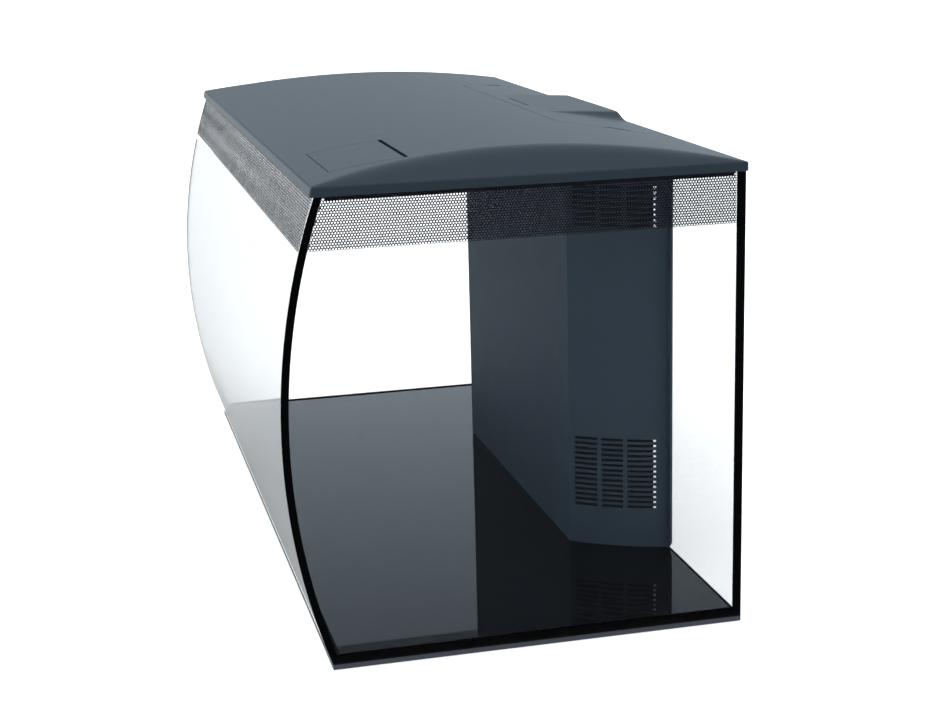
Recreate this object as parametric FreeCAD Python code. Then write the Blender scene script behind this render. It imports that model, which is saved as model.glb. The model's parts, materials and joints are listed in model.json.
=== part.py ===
import FreeCAD, Part
import math
import os

# Curved-front aquarium with a rear filter compartment and a lift-off arched hood.
# Millimetres. +X along the length, -Y towards the curved front glass, +Z up.
# The origin is on the surface it stands on, in the middle of the whole outline.

V = FreeCAD.Vector

# ---------------------------------------------------------------- driving dimensions
# Glass tank
HALF_LENGTH = 410.0
BACK_Y = 195.5
FRONT_APEX_Y = -197.5
FRONT_RADIUS = 575.0
FRONT_ARC_Z = 197.5
GLASS = 6.0
GLASS_TOP = 397.5
JOINT_GAP = 0.5
BASE_HEIGHT = 4.3
FILM = 0.5
FLOOR_Z = 10.8
BEAD = 1.0

# Printed honeycomb band at the top of the panes
BAND_BOTTOM = 351.5
BAND_THICK = 0.3

# Filter compartment: a front wall, and two bowed side walls that spread to the back glass
WALL = 3.0
FILTER_FRONT_Y = 104.5
FILTER_HALF = 197.0
FILTER_BACK_HALF = 242.0
FILTER_BACK_Y = 187.5
FILTER_TOP = 388.0
FILTER_BOW = 4.8
FLANGE_HALF = 250.7
FLANGE_CORNER = 7.0
GRILLE_PITCH = 5.07
GRILLE_SLOT = 2.6
GRILLE_COLUMNS = ((5.4, 28.0), (32.0, 52.9), (56.8, 84.1))
LOWER_GRILLE = (50.4, 14)
UPPER_GRILLE = (321.9, 8)
CHAMBER_X = 105.0
CHAMBER_TOP = 345.0
LOW_WAY_Y = (125.0, 175.0)
LOW_WAY_Z = (25.0, 45.0)

# Filter media
MEDIA_GAP = 1.0
FOAM_BACK_Y = 177.5
FOAM_TOP = 372.0
BASKET = (112.0, 158.0, 112.5, 182.5)
BASKET_TOP = 330.0
BASKET_WALL = 1.5
WINDOW_START = (8.0, 14.0)
WINDOW_SIZE = (8.0, 18.0)
WINDOW_PITCH = (11.5, 26.0)
WINDOW_ROWS = (5, 11)
HANDLE_Y = (145.0, 151.0)
HANDLE_POST = 6.0
HANDLE_RISE = 34.0
HANDLE_BAR = 4.0
CARBON_TOP = 165.0
RINGS_TOP = 300.0
RING_RADIUS = 6.3
RING_LENGTH = 19.0

# Pumps and their return nozzles, one pair each side of the middle
PUMP_X = 70.0
PUMP_Y = 138.0
PUMP_Z = 45.0
ROTOR_RADIUS = 8.0
SHAFT_RADIUS = 1.5
VOLUTE_RADIUS = 19.0
VOLUTE_HALF = 6.5
VOLUTE_WALL = 3.0
MOTOR_HALF = 22.0
MOTOR_LENGTH = 39.5
MOTOR_ROUND = 5.0
ROTOR_GAP = 0.6
COVER = 3.0
INTAKE_RADIUS = 10.0
COVER_HUB_RADIUS = 3.5
ROTOR_HUB_RADIUS = 5.0
BLADE_HALF = 0.8
BLADE_REACH = (3.0, 14.0)
BLADES = 6
SPIGOT_Z = (57.0, 79.0)
SPIGOT_WALL = 2.5
FOOT_AT = ((-15.0, 14.0), (15.0, 14.0), (-15.0, 38.0), (15.0, 38.0))
FOOT_RADIUS = (7.0, 4.0)
FOOT_HEIGHT = 6.0
FOOT_STEM_RADIUS = 3.0
HOSE_INNER = 8.0
HOSE_OUTER = 10.0
HOSE_BEND = 20.0
HOSE_LOW = 69.0
NOZZLE_Z = 372.0
RING_FLANGE = (15.0, 3.0)
SOCKET_RADIUS = 12.0
SOCKET_DEPTH = 5.0
SOCKET_BORE = 9.0
TAIL_LENGTH = 8.0
WATERWAY = 5.5
COLLAR_DISC = (0.3, 5.0)
COLLAR_BORE = 5.0
EAR_X = 9.5
EAR_HALF = (1.5, 4.0)
SPOUT_Y = 83.0
SPOUT_HALF = 7.6
SPOUT_HUB_RADIUS = 7.0
SPOUT_PIN = 2.0
SPOUT_PIN_END = 11.0
BILL_LENGTH = 24.0
BILL_HALF_HEIGHT = (6.5, 3.5)
MOUTH_HALF = (6.0, 2.0)
PORT_RADIUS = 4.2
RUNNING_FIT = 0.05

# Arched hood
HOOD_HALF = 412.0
HOOD_FRONT = -166.5
HOOD_BACK = 197.5
RIM_BOTTOM = 394.5
RIM_TOP = 402.0
CREST = 420.0
END_SLOPE = math.radians(25)
END_FILLET = 50.0
CORNER = 2.6
HOOD_SKIN = 2.5
RIM_SKIN = 1.6
SEAM = 0.7
FRAME_LEDGE = 1.8
FRAME_REST = 0.1
SKIRT_X = 402.5
SKIRT_Y = (-152.5, 187.5)
SKIRT_LOW = 390.5
SKIRT_WALL = 2.0

# Feed door, near the front right corner of the hood
DOOR = (246.0, 361.0, -142.0, -80.0)
FINGER_SLOT = 3.5
HINGE_BACK = 12.0
PIN_RADIUS = 1.0
PIVOT_DROP = HOOD_SKIN + PIN_RADIUS + 0.4
HINGE_BLOCK = 3.0
HINGE_ROOT = 0.8
KNUCKLE_LENGTH = 7.0
EAR_LENGTH = 5.0

# Service hatch over the filter, with a raised cord cowl
HATCH_FRONT = 100.7
HATCH_FRONT_HALF = 181.0
HATCH_SHOULDER = (191.0, 104.0)
HATCH_HALF = 236.0
HATCH_CORNER_Y = 159.0
HATCH_BACK = 192.5
COWL_HALF = 75.0
COWL_FOOT = 135.0
COWL_LINE = ((112.0, 400.0), (118.0, 414.3), (191.5, 410.6), (192.5, 409.6), (192.5, 400.0))
HATCH_LEDGE_OUT = 3.0
HATCH_LEDGE_IN = 4.0
HATCH_LEDGE = 1.5
HATCH_LEDGE_BACK = 183.0
NOTCH_MIDDLE = (223.6, 143.8)
NOTCH_HALF = 15.0
NOTCH_DEPTH = 3.4
CORD_NOTCH = (30.0, 60.0)
CORD_NOTCH_FRONT = 184.0

# Lamp under the hood
LAMP_HALF = 330.0
LAMP_Y = (-55.0, 35.0)
LAMP_Z = (397.5, 409.0)
LAMP_WALL = 1.5
LENS = (0.2, 2.2)
LENS_GAP = 0.2
BOARD_HALF = 280.0
BOARD_MARGIN = 4.0
BOARD = 1.6
SCREW_X = 300.0
SCREW_INSET = 15.0
SCREW_RADIUS = 1.5
SCREW_HEAD = (3.0, 2.0)
SCREW_LENGTH = 7.5
BOSS_RADIUS = 4.0

FRONT_AXIS_Y = FRONT_APEX_Y + FRONT_RADIUS
HOOD_MID_Y = (HOOD_FRONT + HOOD_BACK) / 2
ARCH_RISE = CREST - RIM_TOP
ARCH_RADIUS = ((HOOD_BACK - HOOD_MID_Y) ** 2 + ARCH_RISE ** 2) / (2 * ARCH_RISE)

nodes = {}


# ---------------------------------------------------------------- shape helpers
def box(x0, x1, y0, y1, z0, z1):
    return Part.makeBox(x1 - x0, y1 - y0, z1 - z0, V(x0, y0, z0))


def cylinder(radius, start, direction, length):
    return Part.makeCylinder(radius, length, start, direction)


def prism(points, extrusion):
    wire = Part.makePolygon([*points, points[0]])
    return Part.Face(wire).extrude(extrusion)


def fuse(*shapes):
    return shapes[0].multiFuse(list(shapes[1:])).removeSplitter()


def mirrored(shape):
    return shape.mirror(V(0, 0, 0), V(1, 0, 0))


def pair(name, shape):
    """The same piece on the right and, mirrored, on the left."""
    nodes[name + "_right"] = shape
    nodes[name + "_left"] = mirrored(shape)


def front_y(inset, z):
    """Where the curved front stands at a height, that far inside its outer surface."""
    radius = FRONT_RADIUS - inset
    return FRONT_AXIS_Y - math.sqrt(radius ** 2 - (z - FRONT_ARC_Z) ** 2)


def tank_slice(x0, x1, inset, back_y, z0, z1):
    """A solid with the tank's curved side outline, between two heights."""
    low = V(x0, front_y(inset, z0), z0)
    high = V(x0, front_y(inset, z1), z1)
    middle_z = (z0 + z1) / 2
    middle = V(x0, front_y(inset, middle_z), middle_z)
    back_high = V(x0, back_y, z1)
    back_low = V(x0, back_y, z0)
    edges = [
        Part.Arc(low, middle, high).toShape(),
        Part.makeLine(high, back_high),
        Part.makeLine(back_high, back_low),
        Part.makeLine(back_low, low),
    ]
    return Part.Face(Part.Wire(edges)).extrude(V(x1 - x0, 0, 0))


# ---------------------------------------------------------------- glass tank
def glass_tank():
    seal_x = HALF_LENGTH - JOINT_GAP
    pane_x = HALF_LENGTH - GLASS
    inner_back = BACK_Y - GLASS
    side_front = GLASS + JOINT_GAP
    side_back = inner_back - JOINT_GAP
    side_low = FLOOR_Z + JOINT_GAP
    floor_front = front_y(GLASS, BASE_HEIGHT) + JOINT_GAP
    above = GLASS_TOP + 1

    nodes["base_tray"] = box(-HALF_LENGTH, HALF_LENGTH, front_y(0, BASE_HEIGHT), BACK_Y, 0, BASE_HEIGHT)
    nodes["floor_backing"] = box(-pane_x, pane_x, floor_front, side_back, BASE_HEIGHT, BASE_HEIGHT + FILM)
    nodes["bottom_glass"] = box(-seal_x, seal_x, floor_front, side_back, BASE_HEIGHT + FILM, FLOOR_Z)
    nodes["back_glass"] = box(-seal_x, seal_x, inner_back, BACK_Y, BASE_HEIGHT, GLASS_TOP)

    outside = tank_slice(-seal_x, seal_x, 0, 0, BASE_HEIGHT, GLASS_TOP)
    inside = tank_slice(-seal_x, seal_x, GLASS, 1, BASE_HEIGHT - 1, above)
    nodes["front_glass"] = outside.cut(inside)

    pair("side_glass", tank_slice(pane_x, HALF_LENGTH, side_front, side_back, side_low, GLASS_TOP))

    # Black silicone: a cap over the ends of the long panes, and the joint round the side pane
    cap = tank_slice(seal_x, HALF_LENGTH, 0, BACK_Y, BASE_HEIGHT, GLASS_TOP)
    joint = tank_slice(pane_x, seal_x, GLASS, inner_back, FLOOR_Z, GLASS_TOP)
    side_space = tank_slice(pane_x - 1, HALF_LENGTH + 1, side_front, side_back, side_low, above)
    pair("silicone_joint", cap.fuse(joint).cut(side_space).removeSplitter())

    # Silicone bead round the floor
    bead = tank_slice(-pane_x, pane_x, GLASS, inner_back, FLOOR_Z, FLOOR_Z + BEAD)
    bead_front = front_y(GLASS, FLOOR_Z) + BEAD
    clear_floor = box(BEAD - pane_x, pane_x - BEAD, bead_front, inner_back - BEAD, 0, above)
    nodes["floor_bead"] = bead.cut(clear_floor)


def honeycomb_band():
    """Thin printed film on the outside of the front and side panes, stopping short of their edges."""
    film_x = HALF_LENGTH - JOINT_GAP
    outer = tank_slice(-film_x, film_x, -BAND_THICK, 0, BAND_BOTTOM, GLASS_TOP)
    inner = tank_slice(-film_x - 1, film_x + 1, 0, 1, BAND_BOTTOM - 1, GLASS_TOP + 1)
    nodes["honeycomb_front"] = outer.cut(inner)
    inset = GLASS + JOINT_GAP
    back = BACK_Y - inset
    side = tank_slice(HALF_LENGTH, HALF_LENGTH + BAND_THICK, inset, back, BAND_BOTTOM, GLASS_TOP)
    pair("honeycomb", side)


# ---------------------------------------------------------------- filter compartment
def side_wall_frame():
    """Ends, direction and length of the right side wall in plan, and its outward normal."""
    start = V(FILTER_HALF, FILTER_FRONT_Y, 0)
    end = V(FILTER_BACK_HALF, FILTER_BACK_Y, 0)
    along = (end - start).normalize()
    outward = V(along.y, -along.x, 0)
    return start, end, along, outward


def side_wall():
    start, end, along, outward = side_wall_frame()
    half_chord = (end - start).Length / 2
    radius = (half_chord ** 2 + FILTER_BOW ** 2) / (2 * FILTER_BOW)
    middle = start + along * half_chord + outward * FILTER_BOW
    centre = middle - outward * radius
    floor = V(0, 0, FLOOR_Z)
    height = V(0, 0, FILTER_TOP - FLOOR_Z)

    inner_scale = (radius - WALL) / radius
    inner = [centre + (point - centre) * inner_scale + floor for point in (start, middle, end)]
    outer = [point + floor for point in (start, middle, end)]
    edges = [
        Part.Arc(*outer).toShape(),
        Part.makeLine(outer[2], inner[2]),
        Part.Arc(*reversed(inner)).toShape(),
        Part.makeLine(inner[0], outer[0]),
    ]
    wall = Part.Face(Part.Wire(edges)).extrude(height)

    # Flange that lies against the back glass, with its lower corner cut off
    root = FILTER_BACK_HALF - 2 * WALL
    flange = prism([
        V(root, FILTER_BACK_Y, FLOOR_Z),
        V(FLANGE_HALF - FLANGE_CORNER, FILTER_BACK_Y, FLOOR_Z),
        V(FLANGE_HALF, FILTER_BACK_Y, FLOOR_Z + FLANGE_CORNER),
        V(FLANGE_HALF, FILTER_BACK_Y, FILTER_TOP),
        V(root, FILTER_BACK_Y, FILTER_TOP),
    ], V(0, BACK_Y - GLASS - FILTER_BACK_Y, 0))
    return fuse(wall, flange)


def grille_slots():
    start, _, along, outward = side_wall_frame()
    angle = math.degrees(math.atan2(along.y, along.x))
    depth = 4 * FILTER_BOW
    slots = []
    for first_z, rows in (LOWER_GRILLE, UPPER_GRILLE):
        for row in range(rows):
            low = first_z + row * GRILLE_PITCH - GRILLE_SLOT / 2
            for near, far in GRILLE_COLUMNS:
                slot = box(near, far, -depth / 2, depth / 2, low, low + GRILLE_SLOT)
                slot.rotate(V(0, 0, 0), V(0, 0, 1), angle)
                slot.translate(start)
                slots.append(slot)
    return Part.makeCompound(slots)


def filter_walls():
    front = box(-FILTER_HALF, FILTER_HALF, FILTER_FRONT_Y, FILTER_FRONT_Y + WALL, FLOOR_Z, FILTER_TOP)
    for side in (-1, 1):
        hole = V(side * PUMP_X, FILTER_FRONT_Y - 1, NOZZLE_Z)
        front = front.cut(cylinder(HOSE_INNER, hole, V(0, 1, 0), WALL + 2))
    nodes["filter_front_wall"] = front
    pair("filter_side_wall", side_wall().cut(grille_slots()).cut(front))
    walls = [nodes["filter_side_wall_right"], nodes["filter_side_wall_left"]]

    # Inner walls between the media chambers and the pump chamber, with a low way through
    inner = box(CHAMBER_X, CHAMBER_X + WALL, FILTER_FRONT_Y + WALL, BACK_Y - GLASS, FLOOR_Z, CHAMBER_TOP)
    low_way = box(CHAMBER_X - 1, CHAMBER_X + WALL + 1, *LOW_WAY_Y, *LOW_WAY_Z)
    pair("chamber_wall", inner.cut(low_way))
    walls += [nodes["chamber_wall_right"], nodes["chamber_wall_left"]]
    nodes["floor_bead"] = nodes["floor_bead"].cut(Part.makeCompound(walls))


def foam_outline():
    """Plan of the foam block: it follows the slanted side wall and stops short of the back."""
    start, _, along, outward = side_wall_frame()
    inner_x = BASKET[1] + 4 * MEDIA_GAP
    near = start - outward * (WALL + MEDIA_GAP)
    foam_front_y = FILTER_FRONT_Y + WALL + MEDIA_GAP
    slope_front = near + along * ((foam_front_y - near.y) / along.y)
    slope_back = near + along * ((FOAM_BACK_Y - near.y) / along.y)
    low = FLOOR_Z + MEDIA_GAP
    return [
        V(inner_x, foam_front_y, low),
        V(slope_front.x, slope_front.y, low),
        V(slope_back.x, slope_back.y, low),
        V(inner_x, FOAM_BACK_Y, low),
    ]


def filter_media():
    pair("foam_block", prism(foam_outline(), V(0, 0, FOAM_TOP - FLOOR_Z - MEDIA_GAP)))

    x0, x1, y0, y1 = BASKET
    floor = FLOOR_Z + MEDIA_GAP
    wall = BASKET_WALL
    basket = box(x0, x1, y0, y1, floor, BASKET_TOP)
    basket = basket.cut(box(x0 + wall, x1 - wall, y0 + wall, y1 - wall, floor + wall, BASKET_TOP + 1))
    windows = []
    for level in range(WINDOW_ROWS[1]):
        z = floor + WINDOW_START[1] + level * WINDOW_PITCH[1]
        for step in range(WINDOW_ROWS[0]):
            y = y0 + WINDOW_START[0] + step * WINDOW_PITCH[0]
            windows.append(box(x0 - 1, x1 + 1, y, y + WINDOW_SIZE[0], z, z + WINDOW_SIZE[1]))
    bar_low = BASKET_TOP + HANDLE_RISE
    handle = fuse(
        box(x0, x0 + HANDLE_POST, *HANDLE_Y, BASKET_TOP, bar_low),
        box(x1 - HANDLE_POST, x1, *HANDLE_Y, BASKET_TOP, bar_low),
        box(x0, x1, *HANDLE_Y, bar_low, bar_low + HANDLE_BAR),
    )
    pair("media_basket", fuse(basket.cut(Part.makeCompound(windows)), handle))

    inset = wall + MEDIA_GAP
    bag = box(x0 + inset, x1 - inset, y0 + inset, y1 - inset, floor + wall, CARBON_TOP)
    pair("carbon_bag", bag)
    pair("ceramic_rings", ceramic_rings(x0 + inset, y0 + inset, CARBON_TOP + MEDIA_GAP))


def ceramic_rings(x0, y0, z0):
    """Porous tube pieces stacked in the basket, lying in crossed layers."""
    step = 2 * RING_RADIUS + MEDIA_GAP
    stride = RING_LENGTH + MEDIA_GAP
    rings = []
    layer = 0
    z = z0 + RING_RADIUS
    while z + RING_RADIUS <= RINGS_TOP:
        along_x = layer % 2 == 0
        rows, columns = (4, 2) if along_x else (3, 3)
        for row in range(rows):
            for column in range(columns):
                if along_x:
                    start = V(x0 + column * stride, y0 + RING_RADIUS + row * step, z)
                    direction = V(1, 0, 0)
                else:
                    start = V(x0 + RING_RADIUS + column * step, y0 + MEDIA_GAP + row * stride, z)
                    direction = V(0, 1, 0)
                tube = cylinder(RING_RADIUS, start, direction, RING_LENGTH)
                rings.append(tube.cut(cylinder(RING_RADIUS / 2, start, direction, RING_LENGTH)))
        z += step
        layer += 1
    return Part.makeCompound(rings)


# ---------------------------------------------------------------- pumps and nozzles
def pump():
    along = V(0, 1, 0)
    up = V(0, 0, 1)
    volute_front = PUMP_Y - VOLUTE_HALF
    volute_back = PUMP_Y + VOLUTE_HALF
    cover_front = volute_front - COVER
    motor_back = volute_back + MOTOR_LENGTH
    rotor_end = motor_back - 4
    shaft_end = motor_back - 1
    spigot_low, spigot_top = SPIGOT_Z

    def on_axis(radius, y0, y1):
        return cylinder(radius, V(PUMP_X, y0, PUMP_Z), along, y1 - y0)

    def around(half_width, y0, y1, reach, count):
        """Bars that stand out from the shaft, evenly round it."""
        bars = []
        for turn in range(count):
            bar = box(PUMP_X - half_width, PUMP_X + half_width, y0, y1, PUMP_Z + reach[0], PUMP_Z + reach[1])
            bar.rotate(V(PUMP_X, 0, PUMP_Z), along, 360 / count * turn)
            bars.append(bar)
        return bars

    motor = box(
        PUMP_X - MOTOR_HALF, PUMP_X + MOTOR_HALF,
        volute_back, motor_back,
        PUMP_Z - MOTOR_HALF, PUMP_Z + MOTOR_HALF,
    )
    motor = motor.makeFillet(MOTOR_ROUND, [edge for edge in motor.Edges if abs(edge.tangentAt(0).y) > 0.9])
    spigot = cylinder(HOSE_INNER, V(PUMP_X, PUMP_Y, spigot_low), up, spigot_top - spigot_low)
    body = fuse(motor, on_axis(VOLUTE_RADIUS, volute_front, volute_back), spigot)
    body = body.cut(on_axis(VOLUTE_RADIUS - VOLUTE_WALL, volute_front - 1, volute_back))
    body = body.cut(on_axis(ROTOR_RADIUS + ROTOR_GAP, volute_back - 1, rotor_end))
    body = body.cut(on_axis(SHAFT_RADIUS, rotor_end - 1, shaft_end))
    body = body.cut(on_axis(VOLUTE_RADIUS, cover_front, volute_front))
    outlet = cylinder(HOSE_INNER - SPIGOT_WALL, V(PUMP_X, PUMP_Y, spigot_low - 2), up, spigot_top)
    pair("pump_body", body.cut(outlet))

    spokes = around(1, cover_front, volute_front, (0, INTAKE_RADIUS + 1), 3)
    cover = on_axis(VOLUTE_RADIUS, cover_front, volute_front)
    cover = cover.cut(on_axis(INTAKE_RADIUS, cover_front - 1, volute_front + 1))
    cover = fuse(cover, on_axis(COVER_HUB_RADIUS, cover_front, volute_front), *spokes)
    pair("pump_cover", cover.cut(on_axis(SHAFT_RADIUS, cover_front + 1, volute_front + 1)))
    pair("pump_shaft", on_axis(SHAFT_RADIUS, cover_front + 1, shaft_end))

    rotor = fuse(
        on_axis(ROTOR_RADIUS, volute_back + 1, rotor_end - 1),
        on_axis(ROTOR_HUB_RADIUS, volute_front + 1, volute_back + 1),
        *around(BLADE_HALF, volute_front + 2, volute_back - 1.5, BLADE_REACH, BLADES),
    )
    pair("impeller", rotor.cut(on_axis(SHAFT_RADIUS + RUNNING_FIT, volute_front, motor_back)))

    feet = []
    stem_low = FLOOR_Z + FOOT_HEIGHT
    stem_length = PUMP_Z - MOTOR_HALF - stem_low
    for dx, dy in FOOT_AT:
        foot = Part.makeCone(*FOOT_RADIUS, FOOT_HEIGHT, V(PUMP_X + dx, PUMP_Y + dy, FLOOR_Z), up)
        stem = cylinder(FOOT_STEM_RADIUS, V(PUMP_X + dx, PUMP_Y + dy, stem_low), up, stem_length)
        feet.append(foot.fuse(stem))
    pair("pump_feet", Part.makeCompound(feet))


def hose():
    low = V(PUMP_X, PUMP_Y, HOSE_LOW)
    bend_low = V(PUMP_X, PUMP_Y, NOZZLE_Z - HOSE_BEND)
    bend_end = V(PUMP_X, PUMP_Y - HOSE_BEND, NOZZLE_Z)
    centre = V(PUMP_X, PUMP_Y - HOSE_BEND, NOZZLE_Z - HOSE_BEND)
    middle = centre + V(0, math.sin(math.pi / 4), math.cos(math.pi / 4)) * HOSE_BEND
    end = V(PUMP_X, FILTER_FRONT_Y + WALL + 1, NOZZLE_Z)
    path = Part.Wire([
        Part.makeLine(low, bend_low),
        Part.Arc(bend_low, middle, bend_end).toShape(),
        Part.makeLine(bend_end, end),
    ])

    def tube(radius):
        ring = Part.Wire(Part.makeCircle(radius, low, V(0, 0, 1)))
        return path.makePipeShell([ring], True, True)

    pair("outlet_hose", tube(HOSE_OUTER).cut(tube(HOSE_INNER)))


def nozzle():
    along = V(0, -1, 0)
    across = V(1, 0, 0)
    wall_y = FILTER_FRONT_Y
    flange_radius, flange = RING_FLANGE
    ring_front = wall_y - flange
    socket_front = ring_front - SOCKET_DEPTH
    disc_gap, disc = COLLAR_DISC
    disc_back = socket_front - disc_gap
    disc_front = wall_y - 13

    def on_axis(radius, y0, y1):
        return cylinder(radius, V(PUMP_X, y1, NOZZLE_Z), along, y1 - y0)

    # Fixed ring through the wall, with a tail for the hose and a socket for the swivel collar
    ring = fuse(
        on_axis(flange_radius, ring_front, wall_y),
        on_axis(HOSE_INNER, ring_front, wall_y + WALL + TAIL_LENGTH),
        on_axis(SOCKET_RADIUS, socket_front, ring_front),
    )
    ring = ring.cut(on_axis(WATERWAY, socket_front - 2, wall_y + WALL + TAIL_LENGTH + 2))
    pair("nozzle_ring", ring.cut(on_axis(SOCKET_BORE, socket_front - 1, ring_front)))

    # Collar that turns in the ring, with two ears for the spout
    ears = []
    for side in (-1, 1):
        x = PUMP_X + side * EAR_X
        half_x, half_z = EAR_HALF
        ear_front = SPOUT_Y - half_z
        ears.append(box(x - half_x, x + half_x, ear_front, disc_front, NOZZLE_Z - half_z, NOZZLE_Z + half_z))
    collar = fuse(
        on_axis(SOCKET_BORE - RUNNING_FIT, disc_back, ring_front - 0.2),
        on_axis(SOCKET_RADIUS, disc_front, disc_back),
        *ears,
    )
    collar = collar.cut(on_axis(COLLAR_BORE, SPOUT_Y, wall_y))
    pivot_end = EAR_X + EAR_HALF[0] + 1
    pivot = cylinder(SPOUT_PIN, V(PUMP_X - pivot_end, SPOUT_Y, NOZZLE_Z), across, 2 * pivot_end)
    pair("nozzle_collar", collar.cut(pivot))

    # Spout that tilts between the ears, with its water way round the middle of the pin
    hub = cylinder(SPOUT_HUB_RADIUS, V(PUMP_X - SPOUT_HALF, SPOUT_Y, NOZZLE_Z), across, 2 * SPOUT_HALF)
    root, tip = BILL_HALF_HEIGHT
    side_x = PUMP_X - SPOUT_HALF
    bill = prism([
        V(side_x, SPOUT_Y, NOZZLE_Z - root),
        V(side_x, SPOUT_Y, NOZZLE_Z + root),
        V(side_x, SPOUT_Y - BILL_LENGTH, NOZZLE_Z + tip),
        V(side_x, SPOUT_Y - BILL_LENGTH, NOZZLE_Z - tip),
    ], across * (2 * SPOUT_HALF))
    port = cylinder(PORT_RADIUS, V(PUMP_X, SPOUT_Y + 8, NOZZLE_Z), along, 14)
    mouth_x, mouth_z = MOUTH_HALF
    mouth = box(
        PUMP_X - mouth_x, PUMP_X + mouth_x,
        SPOUT_Y - BILL_LENGTH - 1, SPOUT_Y - 5,
        NOZZLE_Z - mouth_z, NOZZLE_Z + mouth_z,
    )
    pins = cylinder(
        SPOUT_PIN - RUNNING_FIT, V(PUMP_X - SPOUT_PIN_END, SPOUT_Y, NOZZLE_Z), across, 2 * SPOUT_PIN_END,
    )
    middle_gap = box(PUMP_X - 5, PUMP_X + 5, SPOUT_Y - 3, SPOUT_Y + 3, NOZZLE_Z - 3, NOZZLE_Z + 3)
    spout = fuse(hub, bill).cut(port).cut(mouth)
    pair("nozzle_spout", spout.fuse(pins.cut(middle_gap)).removeSplitter())


# ---------------------------------------------------------------- hood
def arch_z(y):
    return CREST - ARCH_RADIUS + math.sqrt(ARCH_RADIUS ** 2 - (y - HOOD_MID_Y) ** 2)


def hood_dome(inset, drop, low=RIM_BOTTOM):
    """The hood's outer form, made smaller by an inset at its rim and a drop of its top."""
    half = HOOD_HALF - inset
    front = HOOD_FRONT + inset
    back = HOOD_BACK - inset
    rim = RIM_TOP - drop
    crest = CREST - drop

    arch_edges = [
        Part.Arc(V(-half, front, rim), V(-half, HOOD_MID_Y, crest), V(-half, back, rim)).toShape(),
        Part.makeLine(V(-half, back, rim), V(-half, back, low)),
        Part.makeLine(V(-half, back, low), V(-half, front, low)),
        Part.makeLine(V(-half, front, low), V(-half, front, rim)),
    ]
    arch = Part.Face(Part.Wire(arch_edges)).extrude(V(2 * half, 0, 0))

    # Both ends slope up from the rim and round into the flat top line
    tangent = END_FILLET * math.tan(END_SLOPE / 2)
    meet = half - (crest - rim) / math.tan(END_SLOPE)
    flat_x = meet - tangent
    slope_x = meet + tangent * math.cos(END_SLOPE)
    slope_z = crest - tangent * math.sin(END_SLOPE)
    round_x = flat_x + END_FILLET * math.sin(END_SLOPE / 2)
    round_z = crest - END_FILLET * (1 - math.cos(END_SLOPE / 2))
    end_edges = [
        Part.makeLine(V(-half, front, low), V(-half, front, rim)),
        Part.makeLine(V(-half, front, rim), V(-slope_x, front, slope_z)),
        Part.Arc(
            V(-slope_x, front, slope_z), V(-round_x, front, round_z), V(-flat_x, front, crest),
        ).toShape(),
        Part.makeLine(V(-flat_x, front, crest), V(flat_x, front, crest)),
        Part.Arc(V(flat_x, front, crest), V(round_x, front, round_z), V(slope_x, front, slope_z)).toShape(),
        Part.makeLine(V(slope_x, front, slope_z), V(half, front, rim)),
        Part.makeLine(V(half, front, rim), V(half, front, low)),
        Part.makeLine(V(half, front, low), V(-half, front, low)),
    ]
    ends = Part.Face(Part.Wire(end_edges)).extrude(V(0, back - front, 0))

    plan = box(-half, half, front, back, low, crest)
    upright = [edge for edge in plan.Edges if abs(edge.tangentAt(0).z) > 0.9]
    return arch.common(ends).common(plan.makeFillet(CORNER - inset, upright))


def hatch_outline(grow):
    """Plan of the service hatch, spreading towards the back like the compartment below."""
    shoulder_x, shoulder_y = HATCH_SHOULDER
    half = [
        (HATCH_FRONT_HALF, HATCH_FRONT - grow),
        (shoulder_x + grow, shoulder_y - grow / 2),
        (HATCH_HALF + grow, HATCH_CORNER_Y - grow / 2),
        (HATCH_HALF + grow, HATCH_BACK + grow),
    ]
    points = [V(x, y, RIM_BOTTOM) for x, y in half]
    points += [V(-x, y, RIM_BOTTOM) for x, y in reversed(half)]
    return prism(points, V(0, 0, CREST))


def cowl(inset):
    """Raised cowl on the hatch: a level top that grows out of the arch, with sloping sides."""
    top = COWL_HALF - inset
    foot = COWL_FOOT - inset
    crest = COWL_LINE[1][1] - inset
    low = COWL_LINE[0][1] - 2 * inset
    across = prism([
        V(-foot, HATCH_FRONT, low),
        V(-top, HATCH_FRONT, crest),
        V(top, HATCH_FRONT, crest),
        V(foot, HATCH_FRONT, low),
    ], V(0, HOOD_BACK - HATCH_FRONT, 0))
    along = prism([V(-foot, y, z - inset) for y, z in COWL_LINE], V(2 * foot, 0, 0))
    return across.common(along)


def hinge(side, knuckle_x, ear_x, pivot_y, pivot_z):
    """Knuckle on the door, pin through it, and ear on the hood, at one end of the door.

    The knuckle reaches out to knuckle_x, and the ear starts at ear_x.
    """
    top = PIVOT_DROP - HOOD_SKIN

    def block(near, far):
        x0, x1 = sorted((near, far))
        y0 = pivot_y - HINGE_BLOCK
        y1 = pivot_y + HINGE_BLOCK
        return box(x0, x1, y0, y1, pivot_z - HINGE_BLOCK, pivot_z + top + HINGE_ROOT)

    def rod(radius, near, far):
        return cylinder(radius, V(near, pivot_y, pivot_z), V(side, 0, 0), abs(far - near))

    knuckle_end = knuckle_x - side * KNUCKLE_LENGTH
    ear_end = ear_x + side * EAR_LENGTH
    knuckle = block(knuckle_end, knuckle_x).cut(rod(PIN_RADIUS, knuckle_end, knuckle_x))
    pin = rod(PIN_RADIUS, knuckle_end, ear_end)
    ear = block(ear_x, ear_end).cut(rod(PIN_RADIUS + RUNNING_FIT, ear_x, ear_end + side))
    return knuckle, pin, ear


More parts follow.
